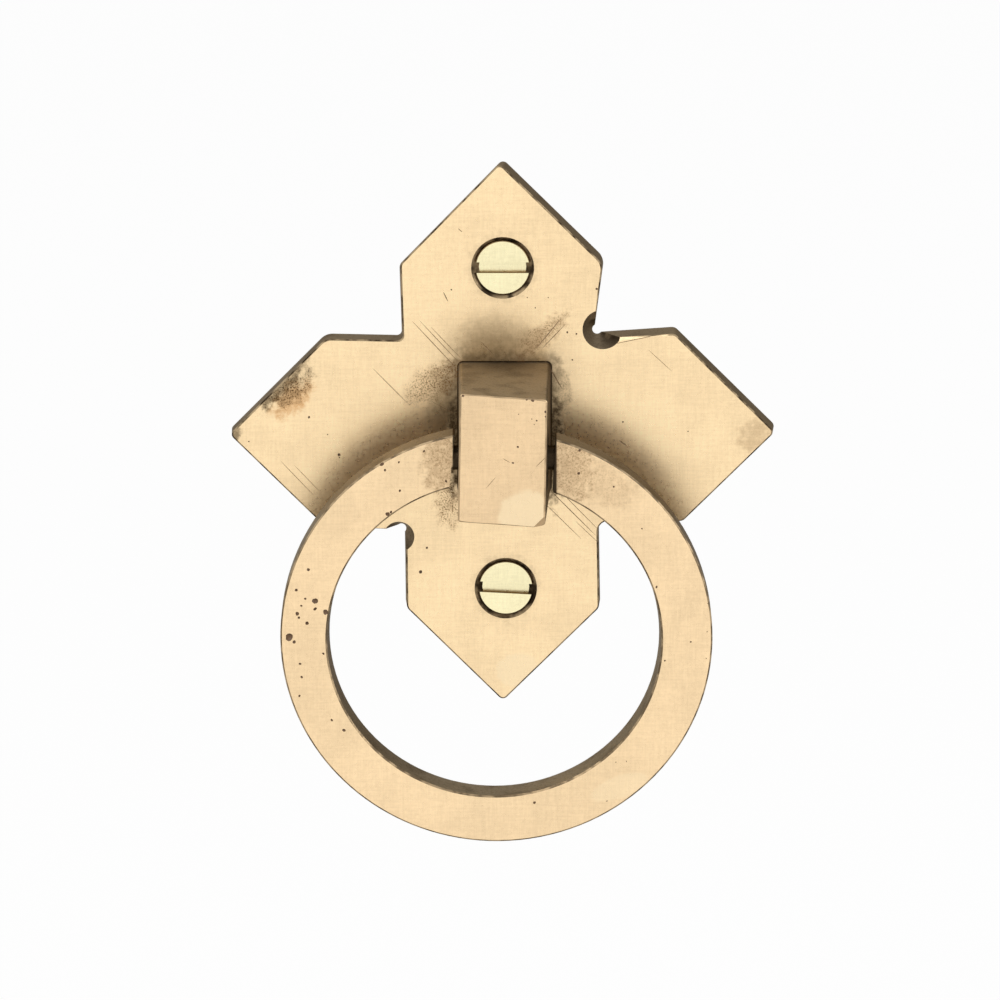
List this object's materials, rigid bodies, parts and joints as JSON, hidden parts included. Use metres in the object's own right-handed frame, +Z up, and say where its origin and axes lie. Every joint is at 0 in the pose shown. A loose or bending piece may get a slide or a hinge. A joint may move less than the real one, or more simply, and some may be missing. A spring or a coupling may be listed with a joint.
{
  "type": "drop pull",
  "caption": "Ring pull for a drawer or cupboard: a flat ring, open at the top, swings in a square block that stands on a cross-shaped plate with pointed arms.",
  "frame": {"origin": "middle of the plate's back face, where it lies against the drawer front", "axes": "+Z up, +Y into the drawer front, so the pull stands out towards -Y, and +X to the right as seen by someone who faces the drawer"},
  "size_m": [0.0676, 0.0371, 0.0831],
  "materials": {
    "brass_plate": "aged satin brass with dark side walls, scratches and brown tarnish",
    "brass_block": "aged satin brass, brown on top and at its foot",
    "brass_ring": "aged satin brass with casting pits and dark edges",
    "brass_screw": "turned brass, polished on the head"
  },
  "bodies": {
    "plate": {"backplate": "brass_plate", "block": "brass_block", "screw_top": "brass_screw", "screw_bottom": "brass_screw"},
    "ring": {"ring": "brass_ring"}
  },
  "joints": [
    {"name": "ring_swing", "type": "hinge", "parent": "plate", "child": "ring", "pos_m": [0.0002, -0.0134, -0.0009], "axis": [-1, 0, 0], "range_deg": [-13, 193]}
  ]
}
